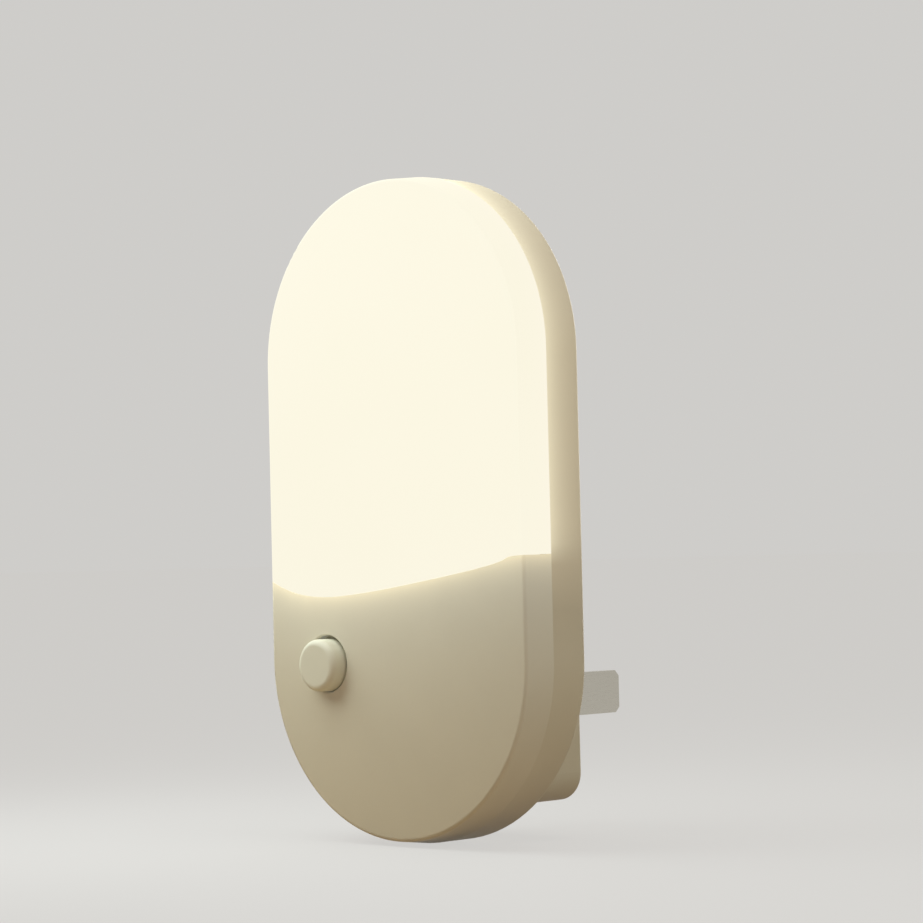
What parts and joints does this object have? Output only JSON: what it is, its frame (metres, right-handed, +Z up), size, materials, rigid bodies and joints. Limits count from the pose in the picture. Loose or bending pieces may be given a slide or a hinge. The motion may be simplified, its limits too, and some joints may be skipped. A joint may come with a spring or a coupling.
{
  "type": "plug in night light",
  "caption": "Flat stadium-shaped plug-in night light with an opal diffuser above a wavy seam, a matt lower panel with a push button, and a plug boss with flat blades behind.",
  "frame": {"origin": "centre of the plug face, midway between the two blades", "axes": "+Z up, the front faces -Y, the blades point along +Y, +X to the viewer's right"},
  "size_m": [0.053, 0.0439, 0.097],
  "materials": {
    "opal_diffuser": "opal polycarbonate, satin, lit warm white from inside",
    "cover_plastic": "warm white moulded plastic, fine matt",
    "housing_plastic": "warm white moulded plastic, fine matt",
    "button_plastic": "warm white moulded plastic, fine matt",
    "blade_metal": "nickel-plated, satin",
    "inner_plastic": "natural white nylon",
    "screw_steel": "zinc-plated",
    "white_board": "white solder mask",
    "green_board": "green solder mask",
    "film_case": "dipped epoxy",
    "can_sleeve": "printed sleeve left blank",
    "black_epoxy": "moulded epoxy",
    "resistor_coat": "lacquer",
    "chip_ceramic": "coated ceramic",
    "lead_blue": "insulation",
    "lead_brown": "insulation",
    "lead_white": "insulation",
    "switch_case": "moulded case",
    "spring_steel": "spring wire",
    "terminal_metal": "tinned",
    "led_package": "white package with a phosphor lens"
  },
  "bodies": {
    "case": {"front_diffuser": "opal_diffuser", "front_panel": "cover_plastic", "rear_housing": "housing_plastic", "blade_left": "blade_metal", "blade_right": "blade_metal", "blade_retainer": "inner_plastic", "retainer_screw_upper": "screw_steel", "retainer_screw_lower": "screw_steel", "led_board": "white_board", "led_screw_lower": "screw_steel", "led_screw_upper": "screw_steel", "driver_board": "green_board", "driver_screw_left": "screw_steel", "driver_screw_right": "screw_steel", "film_capacitor": "film_case", "electrolytic_capacitor": "can_sleeve", "bridge_rectifier": "black_epoxy", "fuse_resistor": "resistor_coat", "chip_resistor_upper": "chip_ceramic", "chip_resistor_lower": "chip_ceramic", "mains_lead_left": "lead_blue", "mains_lead_right": "lead_brown", "led_link_left": "lead_white", "led_link_right": "lead_white", "switch_body": "switch_case", "switch_spring": "spring_steel", "switch_terminal_left": "terminal_metal", "switch_terminal_right": "terminal_metal", "led_1": "led_package", "led_2": "led_package", "led_3": "led_package", "led_4": "led_package", "led_5": "led_package", "led_6": "led_package", "led_7": "led_package", "led_8": "led_package"},
    "button": {"button_cap": "button_plastic", "switch_plunger": "inner_plastic"}
  },
  "joints": [
    {"name": "button_press", "type": "slide", "parent": "case", "child": "button", "axis": [0, 1, 0], "range_m": [0, 0.0014], "stiffness_N_per_m": 600, "springref_m": -0.001, "deforming": ["switch_spring"]}
  ]
}
